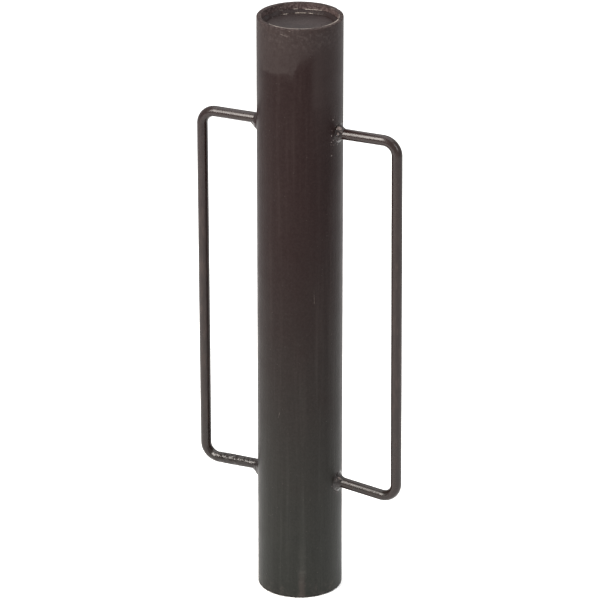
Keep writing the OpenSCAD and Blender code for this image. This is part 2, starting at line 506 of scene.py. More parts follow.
    # pale handling haze along the last centimetres
    haze = t.math("MULTIPLY", t.remap(z, 0.022, 0.004), t.remap(t.noise(150.0, 4.0, 0.65), 0.48, 0.72))
    t.body = t.mix(t.math("MULTIPLY", haze, 0.22), t.body, (0.075, 0.062, 0.056))
    # thick dark glossy paint and soot round the handle welds
    near = t.value("near_weld")
    near = t.remap(t.math("ADD", near, t.math("MULTIPLY", t.math("SUBTRACT", t.noise(170.0, 4.0, 0.6), 0.5), 0.5)), 0.25, 0.75)
    t.body = t.mix(t.math("MULTIPLY", near, 0.75), t.body, (0.0098, 0.0062, 0.0058))
    t.rough = t.math("SUBTRACT", t.rough, t.math("MULTIPLY", near, 0.10))
    # the bore: mill scale with overspray only near its mouth
    inside = t.value("inside")
    scale_n = t.noise(48.0, 5.0, 0.65)
    scale_col = t.mix(t.remap(scale_n, 0.40, 0.62), (0.030, 0.031, 0.034), (0.060, 0.056, 0.055))
    scale_col = t.mix(t.remap(t.noise(130.0, 4.0, 0.7), 0.58, 0.74), scale_col, RUST)
    deep = t.math("MULTIPLY", inside, t.remap(t.math("ADD", z, t.math("MULTIPLY", t.math("SUBTRACT", scale_n, 0.5), 0.08)), 0.055, 0.115))
    deep = t.math("MULTIPLY", deep, t.remap(z, PLUG_TOP, PLUG_BASE))
    t.body = t.mix(deep, t.body, scale_col)
    t.rough = t.math("ADD", t.rough, t.math("MULTIPLY", deep, 0.22))
    # the top rim and the wall above the plug: dull brown paint over a ground cut
    cut = t.math("MAXIMUM", t.value("cut"), t.math("MULTIPLY", inside, t.remap(z, PLUG_BASE, PLUG_TOP)))
    ground = t.mix(t.remap(t.noise(260.0, 4.0, 0.65), 0.38, 0.62), (0.0160, 0.0108, 0.0103), (0.0400, 0.0290, 0.0275))
    t.body = t.mix(t.math("MULTIPLY", cut, 0.85), t.body, ground)
    # the turned wall over the plug took a thinner, paler coat
    collar = t.math("MULTIPLY", inside, t.remap(z, PLUG_TOP - 0.001, PLUG_TOP + 0.003))
    spat = t.noise(360.0, 4.0, 0.7)
    t.body = t.mix(t.math("MULTIPLY", collar, t.remap(t.noise(180.0, 3.0, 0.6), 0.3, 0.7, 0.60, 0.95)), t.body,
                   t.mix(t.remap(spat, 0.42, 0.60), (0.0330, 0.0215, 0.0205), (0.0860, 0.0640, 0.0610)))
    t.normal = t.bump(t.math("MULTIPLY", collar, spat), 0.00030, t.normal)
    t.rough = t.math("ADD", t.rough, t.math("MULTIPLY", cut, 0.20))
    return finish_paint(t, 0.10)


def plug_material():
    t = paint("plug_brown_black_paint", 0.54, streaks=False, wear=0.35)
    x, y = t.xyz[0], t.xyz[1]
    rad = t.math("SQRT", t.math("ADD", t.math("MULTIPLY", x, x), t.math("MULTIPLY", y, y)))
    # the saw's sweep across the end of the round bar the plug was cut from
    sweep = t.noise(1.0, 3.0, 0.55, vec=t.scaled(t.coord, 1500, 36, 40, (0.3, 0.1, 0.0)))
    cloud = t.noise(34.0, 4.0, 0.6)
    t.body = t.mix(t.remap(cloud, 0.34, 0.66), (0.0095, 0.0056, 0.0055), (0.0180, 0.0115, 0.0113))
    t.body = t.mix(t.remap(t.fine, 0.35, 0.75, 0.0, 0.20), t.body, BROWN_PALE)
    t.body = t.mix(t.remap(sweep, 0.55, 0.75, 0.0, 0.15), t.body, (0.075, 0.058, 0.055))
    rim = t.remap(rad, PLUG_R - 0.0095, PLUG_R - 0.0040)
    t.body = t.mix(t.math("MULTIPLY", rim, 0.25), t.body, (0.0150, 0.0092, 0.0088))
    # post tops have polished the struck face below
    struck = t.remap(t.xyz[2], PLUG_BASE + 0.004, PLUG_BASE + 0.001)
    dents = t.noise(120.0, 4.0, 0.6)
    t.body = t.mix(t.math("MULTIPLY", struck, t.remap(dents, 0.35, 0.62, 0.45, 1.0)), t.body, (0.135, 0.125, 0.118))
    t.rough = t.math("ADD", t.rough, t.math("MULTIPLY", t.math("SUBTRACT", cloud, 0.5), 0.2))
    t.normal = t.bump(sweep, 0.00007, t.normal)
    return finish_paint(t, 0.22)


def handle_material():
    t = paint("handle_brown_black_paint", 0.24, streaks=False, wear=0.50, peel=0.00006, fleck=0.10,
              low=(0.0085, 0.0062, 0.0050), pale_low=(0.0210, 0.0158, 0.0130))
    # wear where hands rub the bar, along the upright
    grip = t.math("MULTIPLY", t.remap(t.xyz[2], 0.150, 0.220), t.remap(t.xyz[2], 0.455, 0.385))
    rubbed = t.noise(1.0, 4.0, 0.6, vec=t.scaled(t.coord, 260, 260, 60))
    t.body = t.mix(t.remap(rubbed, 0.40, 0.66, 0.10, 0.45), t.body, (0.0180, 0.0104, 0.0082))
    t.body = t.mix(t.math("MULTIPLY", grip, t.remap(rubbed, 0.50, 0.72, 0.0, 0.35)), t.body, (0.034, 0.021, 0.017))
    t.rough = t.math("ADD", t.rough, t.math("MULTIPLY", grip, 0.14))
    roll = t.noise(1.0, 3.0, 0.55, vec=t.scaled(t.coord, 90, 300, 90))
    t.normal = t.bump(roll, 0.00010, t.normal)
    # pitted scale under the paint of the lower legs
    pits = t.math("MULTIPLY", t.value("pitted"), t.noise(165.0, 2.0, 0.5))
    t.body = t.mix(t.math("MULTIPLY", t.value("pitted"), t.remap(t.noise(310.0, 3.0, 0.6), 0.40, 0.60, 0.2, 0.7)), t.body, (0.0075, 0.0058, 0.0050))
    t.normal = t.bump(pits, 0.00150, t.normal)
    t.normal = t.bump(t.math("MULTIPLY", t.value("pitted"), t.noise(480.0, 3.0, 0.6)), 0.00018, t.normal)
    t.rough = t.math("SUBTRACT", t.rough, t.math("MULTIPLY", t.value("pitted"), 0.09))
    return finish_paint(t, 0.335)


def weld_material(name, rough, wear, gloss, grain):
    t = paint(name, rough, streaks=False, wear=wear, peel=0.00008, fleck=0.06)
    valley = t.remap(t.value("ridge"), 0.55, 0.05)
    t.body = t.mix(t.math("MULTIPLY", valley, 0.6), t.body, (0.0070, 0.0042, 0.0040))
    soot = t.noise(240.0, 4.0, 0.65)
    t.body = t.mix(t.remap(soot, 0.55, 0.75, 0.0, 0.40), t.body, RUST)
    t.body = t.mix(0.50, t.body, (0.0105, 0.0060, 0.0056))
    # painted highlights: spatter beads and weld drops marked by the bead values are painted pale, standing in for the
    # glints they catch
    t.body = t.mix(t.math("MULTIPLY", t.value("bead"), 0.70), t.body, (0.125, 0.100, 0.092))
    t.normal = t.bump(t.noise(620.0, 4.0, 0.65), grain, t.normal)
    return finish_paint(t, gloss)


# ---------------------------------------------------------------------------
# The barrel
# ---------------------------------------------------------------------------
WELD_SPOTS = [
    (LEFT_PATH[0], -1), (LEFT_PATH[3], -1),
    (RIGHT_PATH[0], 1), (RIGHT_PATH[3], 1),
]


def near_welds(p, reach):
    out = np.zeros(p.shape[:-1])
    for (x, z), _ in WELD_SPOTS:
        d2 = (p[..., 0] - x) ** 2 + p[..., 1] ** 2 + (p[..., 2] - z) ** 2
        out = np.maximum(out, np.exp(-d2 / reach**2))
    return out


def build_barrel(material):
    e = 0.8 * MM
    z_side = np.concatenate([
        np.arange(e, 9 * MM, 0.9 * MM),
        np.linspace(9 * MM, LENGTH - 9 * MM, 236),
        np.arange(LENGTH - 8.1 * MM, LENGTH - e, 0.9 * MM),
    ])
    prof, tag = [], []

    def extend(points, kind):
        prof.extend(points)
        tag.extend([kind] * len(points))

    extend([(BARREL_R, z) for z in z_side], 0)
    extend(arc(BARREL_R - e, LENGTH - e, e, 0, 90, 7), 1)
    extend([(r, LENGTH) for r in np.linspace(BARREL_R - e, SEAT_R + e, 6)[1:-1]], 2)
    extend(arc(SEAT_R + e, LENGTH - e, e, 90, 180, 7), 3)
    extend([(SEAT_R, z) for z in np.linspace(LENGTH - 1.6 * MM, PLUG_BASE, 14)], 4)
    extend([(BORE_R, z) for z in np.linspace(PLUG_BASE, 8 * MM, 44)], 5)
    extend([(BORE_R, z) for z in np.linspace(6.5 * MM, 1.0 * MM, 5)], 5)
    extend(arc(BORE_R + 0.5 * MM, 0.5 * MM, 0.5 * MM, 180, 270, 5), 6)
    extend([(r, 0.0) for r in np.linspace(BORE_R + 0.5 * MM, BARREL_R - e, 5)[1:-1]], 7)
    extend(arc(BARREL_R - e, e, e, 270, 360, 6)[:-1], 8)
    tag = np.array(tag)
    cols = 256
    g, a = lathe(prof, cols)
    z = g[..., 2].copy()
    radial = np.stack([np.cos(a), np.sin(a)], 1)[None]
    kind = np.broadcast_to(tag[:, None], z.shape)
    outer = np.isin(kind, (0, 1, 2, 8))
    inner = np.isin(kind, (3, 4, 5, 6))
    to_end = np.minimum(z, LENGTH - z)

    # rolling waviness, slight ovality, and dings at the ends
    d = 0.10 * MM * fbm(g * [1, 1, 0.35], 0.055, 3, 2)
    d += 0.05 * MM * fbm(g, 0.012, 9, 2)
    rim = np.exp(-to_end / (3.5 * MM))
    d -= rim * 0.22 * MM * np.clip(fbm(g, 0.0065, 21, 3) + 0.05, 0, 1)
    nick_at = [(-15.5, LENGTH, 1.6, 0.55), (21.0, LENGTH, 1.2, 0.30), (-52.0, LENGTH, 1.8, 0.35),
               (35.0, 0.0, 1.8, 0.40), (-24.0, 0.0, 1.4, 0.35), (118.0, LENGTH, 2.2, 0.5),
               (205.0, 0.0, 2.4, 0.5), (160.0, LENGTH, 1.4, 0.4)]
    for deg, zc, size, deep in nick_at:
        nx, ny = facing(deg)
        d2 = (g[..., 0] - nx * BARREL_R) ** 2 + (g[..., 1] - ny * BARREL_R) ** 2 + (z - zc) ** 2
        d -= deep * MM * np.exp(-d2 / (size * MM) ** 2)
    # the run of paint down to the lower rim
    nx, ny = facing(3.5)
    rx, ry = facing(93.5)
    across = g[..., 0] * rx + g[..., 1] * ry
    front = smooth(g[..., 0] * nx + g[..., 1] * ny, 0.5 * BARREL_R, 0.7 * BARREL_R)
    wander = 0.7 * MM * fbm(np.stack([0 * z, 0 * z, z], -1), 0.03, 5, 2)
    run = np.exp(-((across - wander) / (1.9 * MM)) ** 2) * front * smooth(z, 95 * MM, 40 * MM)
    bulb = np.exp(-(((across - wander) / (2.6 * MM)) ** 2 + ((z - 5.5 * MM) / (5.0 * MM)) ** 2)) * front
    d += (0.16 * run + 0.28 * bulb) * MM
    for deg, top, low, h in ((-31.0, LENGTH - 0.0145, LENGTH - 0.038, 0.13), (47.0, 0.445, 0.405, 0.12), (150.0, 0.33, 0.27, 0.16), (232.0, 0.56, 0.50, 0.14)):
        qx, qy = facing(deg)
        sx, sy = facing(deg + 90)
        ac = g[..., 0] * sx + g[..., 1] * sy
        fr = smooth(g[..., 0] * qx + g[..., 1] * qy, 0.5 * BARREL_R, 0.7 * BARREL_R)
        tear = np.exp(-(((z - low) / (3.2 * MM)) ** 2))
        line = smooth(z, low - 2 * MM, low) * smooth(z, top, low)
        d += h * MM * fr * np.exp(-((ac / (1.5 * MM + 0.6 * MM * tear)) ** 2)) * (0.5 * line + tear)
    d = np.where(outer, d, 0)
    d = np.where(kind == 2, 0, d)
    # the rim's cut faces aren't quite flat
    lift = np.where(np.isin(kind, (1, 2, 3)) & (z > LENGTH - 0.5 * e), -1, np.where(np.isin(kind, (6, 7, 8)) & (z < 0.5 * e), 1, 0))
    g[..., 2] += lift * 0.14 * MM * (0.5 + 0.5 * fbm(g, 0.009, 33, 3))
    # inside: scale, and the flash of the pipe's own long seam
    din = 0.10 * MM * fbm(g, 0.010, 41, 3)
    seam = np.exp(-((((a - math.radians(205)) * BORE_R) / (1.6 * MM)) ** 2))[None] * (kind == 5)
    din = np.where(np.isin(kind, (4, 5)), din - 0.35 * MM * seam * (1 + 0.3 * fbm(g, 0.02, 44, 2)), 0)
    din = np.where(z > PLUG_TOP - 4 * MM, np.clip(din, -0.05 * MM, 1), din)
    total = np.where(outer, d, din)
    g[..., 0] += radial[..., 0] * total
    g[..., 1] += radial[..., 1] * total
    patchy = smooth(fbm(g * [1, 1, 0], 0.013, 51, 3), -0.10, 0.22)
    wear = np.select(
        [np.isin(kind, (0, 8)), kind == 1, kind == 3, kind == 6, kind == 4],
        [0.45 * np.exp(-to_end / (1.1 * MM)), 0.30, 0.86, 0.5, 0.70 * np.exp(-(LENGTH - z) / (0.9 * MM))],
        0.05,
    )
    wear = np.where(z > 0.5 * LENGTH, wear * (0.10 + 0.55 * patchy), wear)
    # painted highlight: along the front, the top rim's inner corner is painted as bright bare steel, standing in for
    # the light it catches there
    at_front = turned(a)
    front_highlight = window(at_front, -52, 74, 7) * (1 - 0.45 * window(at_front, 20, 36, 6)) * (0.92 + 0.50 * fbm(g[0] / np.linalg.norm(g[0], axis=1, keepdims=True) * BARREL_R, 0.007, 53, 2))
    rad = np.hypot(g[..., 0], g[..., 1])
    corner = np.exp(-(((rad - SEAT_R - 0.7 * MM) / (1.00 * MM)) ** 2)) * (z > LENGTH - 0.7 * MM)
    wear = np.maximum(wear, 1.40 * corner * front_highlight[None])
    shell = Shell()
    shell.grid(
        g, wrap_rows=True,
        wear=wear,
        near_weld=np.where(outer, near_welds(g, 15 * MM), 0.0),
        inside=np.where(np.isin(kind, (4, 5, 6)), 1.0, 0.0),
        cut=np.where(np.isin(kind, (1, 2, 3, 6, 7, 8)), 1.0, 0.0),
    )
    return shell.build("barrel_body", material, "barrel_paint", "barrel_tube")


# ---------------------------------------------------------------------------
# The striker plug and its weld
# ---------------------------------------------------------------------------
def build_plug(material):
    c, b = 1.0 * MM, 3.0 * MM
    prof = [(r, PLUG_BASE) for r in np.linspace(1.5 * MM, PLUG_R - c, 22)]
    prof += arc(PLUG_R - c, PLUG_BASE + c, c, 280, 350, 5)
    prof += [(PLUG_R, z) for z in np.linspace(PLUG_BASE + c, PLUG_TOP - b, 6)]
    prof += [(PLUG_R - b * k, PLUG_TOP - b + b * k) for k in (0.33, 0.66, 1.0)]
    prof += [(r, PLUG_TOP) for r in np.linspace(PLUG_R - b - 0.8 * MM, 1.2 * MM, 40)]
    g, a = lathe(prof, 160)
    top = g[..., 2] > PLUG_TOP - 1e-6
    low = g[..., 2] < PLUG_BASE + 1e-6
    rad = np.hypot(g[..., 0], g[..., 1])
    # a sawn face that isn't quite level, dished a little by heat near its weld
    dz = 0.10 * MM * fbm(g, 0.018, 61, 3) + 0.05 * MM * fbm(g * [4, 0.5, 1], 0.012, 63, 2)
    dz -= 0.06 * MM * smooth(rad, 24 * MM, 34 * MM)
    g[..., 2] += np.where(top, dz, 0)
    # dents that post tops have left below
    g[..., 2] += np.where(low, 0.12 * MM * np.clip(fbm(g, 0.011, 67, 3), 0, 1), 0)
    shell = Shell()
    shell.grid(
        g,
        cap_first=(0, 0, PLUG_BASE + 0.03 * MM), cap_last=(0, 0, float(np.mean(g[-1, :, 2]))),
        wear=np.exp(-np.abs(rad - (PLUG_R - c)) / (1.2 * MM)) * low,
    )
    rng = np.random.default_rng(11)
    for k in range(16):
        ang, r = rng.uniform(0, 2 * math.pi), math.sqrt(rng.uniform(0.35, 1.0)) * 33 * MM
        size = rng.uniform(0.25, 0.65) * MM
        shell.droplet((r * math.cos(ang), r * math.sin(ang), PLUG_TOP - 0.02 * MM), (0, 0, 1), size, 0.7, k)
    return shell.build("striker_plug_disc", material, "plug_paint", "striker_plug")


def scallop(phase):
    """Round-backed ripples with tight valleys, 0 in a valley and 1 on a ridge."""
    s = phase - np.floor(phase)
    return np.sqrt(np.clip(1 - (2 * s - 1) ** 2, 0, 1))


def build_plug_weld(material):
    cols, rows = 540, 15
    a = np.linspace(0, 2 * math.pi, cols, endpoint=False)
    leg = WELD_TOP - PLUG_TOP
    ring = np.stack([np.cos(a), np.sin(a), 0 * a], -1)
    wob1 = fbm(ring * SEAT_R, 0.013, 71, 3)
    wob2 = fbm(ring * SEAT_R, 0.010, 73, 3)
    step = 1 + 0.30 * fbm(ring * SEAT_R, 0.016, 75, 2)
    phase = np.cumsum(step) / np.sum(step) * 56
    up = leg * (1.00 + 0.26 * wob1)
    inn = leg * (1.02 + 0.24 * wob2)
    # where the bead was started and stopped
    for deg, w, h in ((152, 5.0, 0.9), (158, 3.5, -0.8), (300, 4.0, 0.5)):
        da = np.angle(np.exp(1j * (a - math.radians(deg)))) * SEAT_R
        up += h * MM * np.exp(-((da / (w * MM)) ** 2))
        inn += 0.6 * h * MM * np.exp(-((da / (w * MM)) ** 2))
    t = np.linspace(0, 1, rows)
    g = np.zeros((rows + 3, cols, 3))
    ridge = np.zeros((rows + 3, cols))
    for k, tt in enumerate(t):
        # quarter of a rounded fillet from the wall's toe to the plug's toe
        bow = 0.12
        r = SEAT_R - inn * tt
        z = PLUG_TOP + up * (1 - tt)
        bulge = 4 * tt * (1 - tt)
        r = r - bow * 0.42 * inn * bulge
        z = z + bow * 0.42 * up * bulge
        s = scallop(phase + 0.55 * (1 - (2 * tt - 1) ** 2))
        fade = bulge**0.6
        h = (0.20 * MM * (s - 0.5) + 0.34 * MM * fbm(ring * SEAT_R + [0, 0, tt * 0.004], 0.0045, 77, 2)) * fade
        r, z = r - 0.707 * h, z + 0.707 * h
        if k == 0:
            r, z = r + 0.35 * MM, z - 0.1 * MM
        if k == rows - 1:
            z = z - 0.35 * MM
        g[k, :, 0], g[k, :, 1], g[k, :, 2] = r * ring[:, 0], r * ring[:, 1], z
        ridge[k] = s * fade
    for k, (r, z) in enumerate(((PLUG_R - 3.0 * MM, PLUG_TOP - 0.6 * MM), (PLUG_R - 0.4 * MM, PLUG_TOP - 2.4 * MM), (SEAT_R + 0.35 * MM, PLUG_TOP - 2.4 * MM))):
        g[rows + k] = ring * r
        g[rows + k, :, 2] = z
    shell = Shell()
    # both toes get a little wear all round, and on the far side, away from the front of the rim, a painted highlight:
    # bright bare steel standing in for the light the toes catch there
    far = (turned(a) + 360) % 360
    uneven = 0.72 + 0.8 * fbm(ring * SEAT_R, 0.007, 79, 2)
    high = (0.30 + 0.42 * window(far, 143, 228, 6) + 0.34 * window(far, 143, 186, 6)) * uneven
    low = (0.22 + 0.50 * window(far, 157, 234, 6)) * (0.72 + 0.9 * fbm(ring * SEAT_R, 0.005, 80, 2))
    toe_wear_and_highlight = np.zeros(ridge.shape)
    toe_wear_and_highlight[:rows] = np.exp(-(((t - 0.085) / 0.06) ** 2))[:, None] * high + np.exp(-(((t - 0.92) / 0.055) ** 2))[:, None] * low
    shell.grid(g, wrap_rows=True, ridge=ridge, bead=np.zeros(ridge.shape), wear=0.10 * ridge + 1.15 * toe_wear_and_highlight)
    rng = np.random.default_rng(5)
    for k in range(34):
        ang = rng.uniform(0, 2 * math.pi)
        size = rng.uniform(0.2, 0.6) * MM
        z = WELD_TOP + rng.uniform(0.4, 4.6) * MM
        n = (-math.cos(ang), -math.sin(ang), 0)
        shell.droplet((SEAT_R * math.cos(ang), SEAT_R * math.sin(ang), z), n, size, 0.75, k)
    return shell.build("plug_weld_bead", material, "weld_paint", "plug_weld")


# ---------------------------------------------------------------------------
# Handles
# ---------------------------------------------------------------------------
def rounded_path(points, radius, step, bend_step):
    """Points and directions along a line of corners whose corners are arcs, in the XZ plane."""
    pts = [np.array(p, float) for p in points]
    out = []

    def straight(p, q):
        n = max(2, int(round(np.linalg.norm(q - p) / step)))
        d = (q - p) / np.linalg.norm(q - p)
        for k in range(n):
            out.append((p + (q - p) * k / n, d, 0.0))

    here = pts[0]
    for k in (1, 2):
        a, b, c = pts[k - 1], pts[k], pts[k + 1]
        u, v = (a - b) / np.linalg.norm(a - b), (c - b) / np.linalg.norm(c - b)
        half = math.acos(float(u @ v)) / 2
        run = radius / math.tan(half)
        o = b + (u + v) / np.linalg.norm(u + v) * radius / math.sin(half)
        p1, p2 = b + u * run, b + v * run
        straight(here, p1)
        a1 = math.atan2(*(p1 - o)[::-1])
        turn = math.atan2(*(p2 - o)[::-1]) - a1
        turn = (turn + math.pi) % (2 * math.pi) - math.pi
        n = max(10, int(round(abs(turn) * radius / bend_step)))
        for j in range(n):
            s = j / n
            ang = a1 + turn * s
            q = o + radius * np.array([math.cos(ang), math.sin(ang)])
            d = np.array([-math.sin(ang), math.cos(ang)]) * math.copysign(1, turn)
            out.append((q, d, math.sin(math.pi * s)))
        here = p2
    straight(here, pts[3])
    d = (pts[3] - here) / np.linalg.norm(pts[3] - here)
    out.append((pts[3], d, 0.0))
    return out


def build_handle(name, node, path, seed, material):
    sunk = 1.6 * MM
    side = 1 if path[0][0] > 0 else -1
    p = [np.array(q, float) for q in path]
    p[0] = p[0] - np.array([side * sunk, 0])
    last = (p[3] - p[2]) / np.linalg.norm(p[3] - p[2])
    p[3] = p[3] + last * sunk
    line = rounded_path(p, BEND_R, 2.4 * MM, 0.9 * MM)
    cols = 40
    a = np.linspace(0, 2 * math.pi, cols, endpoint=False)
    g = np.zeros((len(line), cols, 3))
    length = 0.0
    for k, (q, d, bend) in enumerate(line):
        c = np.array([q[0], 0, q[1]])
        n = np.array([-d[1], 0, d[0]])
        y = np.array([0, 1, 0])
        flat = BAR_R * (1 - 0.030 * bend)
        wide = BAR_R * (1 + 0.010 * bend)
        g[k] = c + np.cos(a)[:, None] * n * flat + np.sin(a)[:, None] * y * wide
    centre = np.array([[q[0], 0, q[1]] for q, _, _ in line])[:, None]
    out = (g - centre) / np.linalg.norm(g - centre, axis=-1, keepdims=True)
    # hot-rolled bar: long lumps and fine lumps
    h = 0.09 * MM * fbm(g * [1, 1.6, 1], 0.022, seed, 2) + 0.014 * MM * fbm(g, 0.006, seed + 7, 2)
    below = smooth(g[..., 2], p[2][1] + 12 * MM, p[2][1] + 4 * MM) * smooth(np.abs(g[..., 0]), 0.103, 0.096)
    pitted = below * (1.0 if side < 0 else 0.12)
    h = h + 0.34 * MM * pitted * fbm(g, 0.0060, seed + 19, 3)
    g = g + out * h[..., None]
    toward_ends = np.abs(g[..., 0]) - BARREL_R
    wear = 0.30 * np.clip(fbm(g, 0.03, seed + 15, 2), 0, 1) * smooth(toward_ends, 20 * MM, 60 * MM)
    bends = np.array([bend for _, _, bend in line])[:, None]
    wear = wear + 0.45 * bends * smooth(out[..., 0] * side, 0.2, 0.9)
    shell = Shell()
    shell.grid(
        g,
        cap_first=centre[0, 0], cap_last=centre[-1, 0],
        flip=True,
        wear=wear,
        pitted=pitted,
    )
    return shell.build(name, material, "handle_paint", node)


# ---------------------------------------------------------------------------
# Welds round the handle legs
# ---------------------------------------------------------------------------
def on_barrel(c, e, d, rho):
    """Distance along d from c + e * rho to the barrel's outside."""
    q = c + e * rho[..., None]
    A = d[0] ** 2 + d[1] ** 2
    B = q[..., 0] * d[0] + q[..., 1] * d[1]
    C = q[..., 0] ** 2 + q[..., 1] ** 2 - BARREL_R**2
    return (-B + np.sqrt(np.maximum(B * B - A * C, 0))) / A


def build_leg_weld(name, node, root, along, shape, seed, material):
    """shape: reach along the bar (top, bottom), foot beyond the bar (up, down, sides), in mm."""
    d = np.array([along[0], 0, along[1]], float)
    d /= np.linalg.norm(d)
    up = np.array([-d[2], 0, d[0]]) * (1 if d[0] > 0 else -1)
    y = np.array([0.0, 1.0, 0.0])
    c = np.array([root[0], 0, root[1]])
    cols, rows = 96, 22
    a = np.linspace(0, 2 * math.pi, cols, endpoint=False)
    e = np.cos(a)[:, None] * up + np.sin(a)[:, None] * y
    circle = np.stack([np.cos(a), np.sin(a), 0 * a], -1)
    upper, lower = np.clip(np.cos(a), 0, 1) ** 1.3, np.clip(-np.cos(a), 0, 1) ** 1.3
    sides = 1 - upper - lower
    wob = fbm(circle * 2.2, 1.0, seed, 3)
    wob2 = fbm(circle * 3.1, 1.0, seed + 3, 3)
    reach = (upper * shape["bar_top"] + lower * shape["bar_low"] + sides * shape["bar_side"]) * MM * (1 + 0.16 * wob)
    foot = BAR_R + (upper * shape["up"] + lower * shape["down"] + sides * shape["side"]) * MM * (1 + 0.16 * wob2)
    s_bar0 = on_barrel(c, e, d, np.full(cols, BAR_R))
    s_foot = on_barrel(c, e, d, foot)
    s_toe = s_bar0 + reach
    phase = a / (2 * math.pi) * shape["ripples"] + 0.35 * fbm(circle * 1.7, 1.0, seed + 9, 2)
    g = np.zeros((rows + 3, cols, 3))
    ridge = np.zeros((rows + 3, cols))
    t = np.linspace(0, 1, rows)
    for k, tt in enumerate(t):
        # from the toe on the bar to the toe on the barrel, pulled in towards the corner
        p0 = (np.full(cols, BAR_R), s_toe)
        p2 = (foot, s_foot)
        corner = (np.full(cols, BAR_R), on_barrel(c, e, d, np.full(cols, BAR_R)))
        mid = ((p0[0] + p2[0]) / 2, (p0[1] + p2[1]) / 2)
        hollow = shape["hollow"]
        p1 = tuple(m + (q - m) * hollow for m, q in zip(mid, corner))
        rho = (1 - tt) ** 2 * p0[0] + 2 * tt * (1 - tt) * p1[0] + tt**2 * p2[0]
        s = (1 - tt) ** 2 * p0[1] + 2 * tt * (1 - tt) * p1[1] + tt**2 * p2[1]
        dr = 2 * (1 - tt) * (p1[0] - p0[0]) + 2 * tt * (p2[0] - p1[0])
        ds = 2 * (1 - tt) * (p1[1] - p0[1]) + 2 * tt * (p2[1] - p1[1])
        size = np.hypot(dr, ds)
        nr, ns = -ds / size, dr / size
        fade = (4 * tt * (1 - tt)) ** 0.55
        sc = scallop(phase + 0.45 * (1 - (2 * tt - 1) ** 2))
        lump = fbm(np.stack([circle[:, 0] * 2.4, circle[:, 1] * 2.4, 0 * a + tt * 1.6], -1), 1.0, seed + 21, 3)
        fine = fbm(np.stack([circle[:, 0] * 7, circle[:, 1] * 7, 0 * a + tt * 5], -1), 1.0, seed + 31, 2)
        h = (shape["ripple"] * (sc - 0.5) + shape["lump"] * lump + 0.22 * fine) * MM * fade
        # a blob where the bead was stopped
        for deg, w, high in shape["blobs"]:
            da = np.angle(np.exp(1j * (a - math.radians(deg))))
            h += high * MM * fade * np.exp(-((da / math.radians(w)) ** 2)) * math.exp(-(((tt - 0.55) / 0.35) ** 2))
        rho = rho + nr * h
        s = s + ns * h
        if k == 0:
            rho = rho - 0.45 * MM
        if k == rows - 1:
            s = s - 0.55 * MM
        g[k] = c + e * rho[:, None] + d * s[:, None]
        ridge[k] = sc * fade
    inner = BAR_R * 0.62
    g[rows] = c + e * (foot * 0.85)[:, None] + d * (on_barrel(c, e, d, foot * 0.85) - 1.1 * MM)[:, None]
    g[rows + 1] = c + e * inner + d * (on_barrel(c, e, d, np.full(cols, inner)) - 1.1 * MM)[:, None]
    g[rows + 2] = c + e * inner + d * (s_toe - 0.8 * MM)[:, None]
    shell = Shell()
    flip = d[0] < 0
    shell.grid(g, wrap_rows=True, flip=flip, ridge=ridge, bead=np.zeros(ridge.shape), wear=0.30 * ridge)
    for (bx, by, bz), nrm, run, size, pale in shape.get("drops", []):
        shell.blob((bx * MM, by * MM, root[1] + bz * MM), nrm, run, *(v * MM for v in size), seed + int(10 * bx), pale)
    # spatter thrown on the barrel, thickest near the bead
    rng = np.random.default_rng(seed)
    for k in range(shape["spatter"]):
        ang = rng.uniform(0, 2 * math.pi)
        far = foot[int(ang / (2 * math.pi) * cols) % cols] + rng.exponential(4.2) * MM + 0.6 * MM
        far = min(far, 0.026)
        ee = math.cos(ang) * up + math.sin(ang) * y
        s = float(on_barrel(c, ee, d, np.array(far)))
        q = c + ee * far + d * s
        n = np.array([q[0], q[1], 0]) / math.hypot(q[0], q[1])
        size = min(0.2 + rng.exponential(0.22), 0.85) * MM
        shell.droplet(q - n * size * 0.15, n, size, rng.uniform(0.55, 0.9), k + seed)
    for k in range(shape["spatter"] // 4):
        ang = rng.uniform(0, 2 * math.pi)
        ee = math.cos(ang) * up + math.sin(ang) * y
        s = float(np.mean(s_toe)) + rng.exponential(4.0) * MM + 1.0 * MM
        size = rng.uniform(0.18, 0.42) * MM
        shell.droplet(c + ee * (BAR_R - 0.05 * MM) + d * s, ee, size, 0.7, k)
    return shell.build(name, material, "weld_paint", node)


# ---------------------------------------------------------------------------
# Everything
# ---------------------------------------------------------------------------
m_barrel, m_plug, m_handle = barrel_material(), plug_material(), handle_material()
m_ring = weld_material("plug_weld_paint", 0.46, 1.0, 0.20, 0.00040)
m_weld = weld_material("leg_weld_paint", 0.21, 0.6, 0.32, 0.00014)
build_barrel(m_barrel)
build_plug(m_plug)
build_plug_weld(m_ring)
build_handle("left_handle_bar", "left_handle", LEFT_PATH, 131, m_handle)
build_handle("right_handle_bar", "right_handle", RIGHT_PATH, 151, m_handle)


def direction(path, end):
    a, b = (path[0], path[1]) if end == "upper" else (path[3], path[2])
    return (b[0] - a[0], b[1] - a[1])


